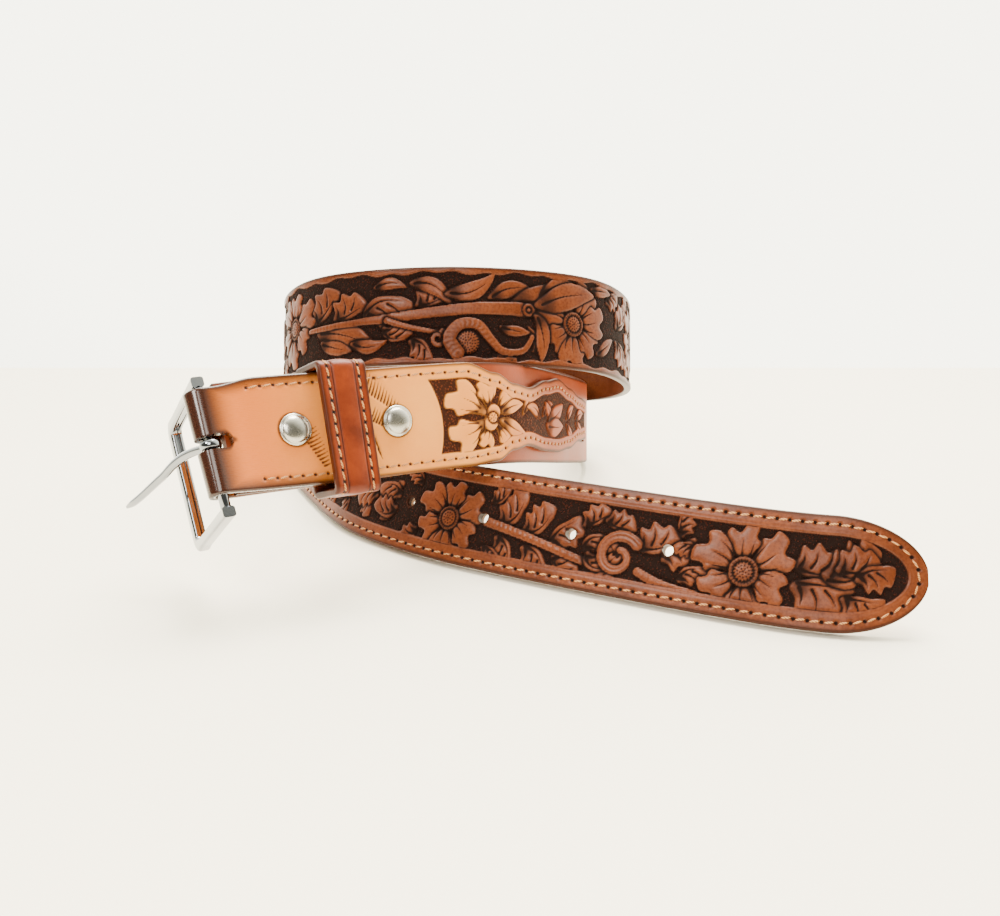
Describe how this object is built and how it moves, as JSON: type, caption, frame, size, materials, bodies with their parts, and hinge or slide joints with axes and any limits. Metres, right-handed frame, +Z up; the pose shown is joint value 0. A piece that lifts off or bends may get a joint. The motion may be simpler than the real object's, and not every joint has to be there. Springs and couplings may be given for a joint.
{
  "type": "western tooled belt",
  "caption": "Tooled leather belt lying in one loose coil, with a folded chape, keeper loop, snaps and an unfastened heel-bar buckle.",
  "frame": {"origin": "bottom centre of the whole belt as it lies on a table", "axes": "+Z up, +X to the right towards the billet's tip, +Y to the back of the coil, seen from the front"},
  "size_m": [0.2672, 0.2668, 0.1063],
  "materials": {
    "strap_leather": "tooled and antiqued, brown with darker recesses",
    "lining_leather": "plain undyed leather",
    "chape_leather": "smooth glossy tan, tooled near its tongue",
    "keeper_leather": "smooth russet with stitched edges",
    "nickel": "polished nickel plate",
    "chrome": "bright chrome"
  },
  "bodies": {
    "belt": {"main_strap": "strap_leather", "billet_lining": "lining_leather", "buckle_chape": "chape_leather", "keeper_loop": "keeper_leather", "snap_cap_1": "nickel", "snap_cap_2": "nickel", "snap_back_1": "nickel", "snap_back_2": "nickel"},
    "buckle": {"buckle_frame": "chrome"},
    "prong": {"buckle_prong": "chrome"}
  },
  "joints": [
    {"name": "frame_swing", "type": "hinge", "parent": "belt", "child": "buckle", "pos_m": [-0.09599, -0.11231, 0.05833], "axis": [0.2843, -0.4586, -0.8419], "range_deg": [-124, 40]},
    {"name": "prong_swing", "type": "hinge", "parent": "buckle", "child": "prong", "pos_m": [-0.09599, -0.11231, 0.05833], "axis": [-0.2843, 0.4586, 0.8419], "range_deg": [-18, 70]}
  ]
}
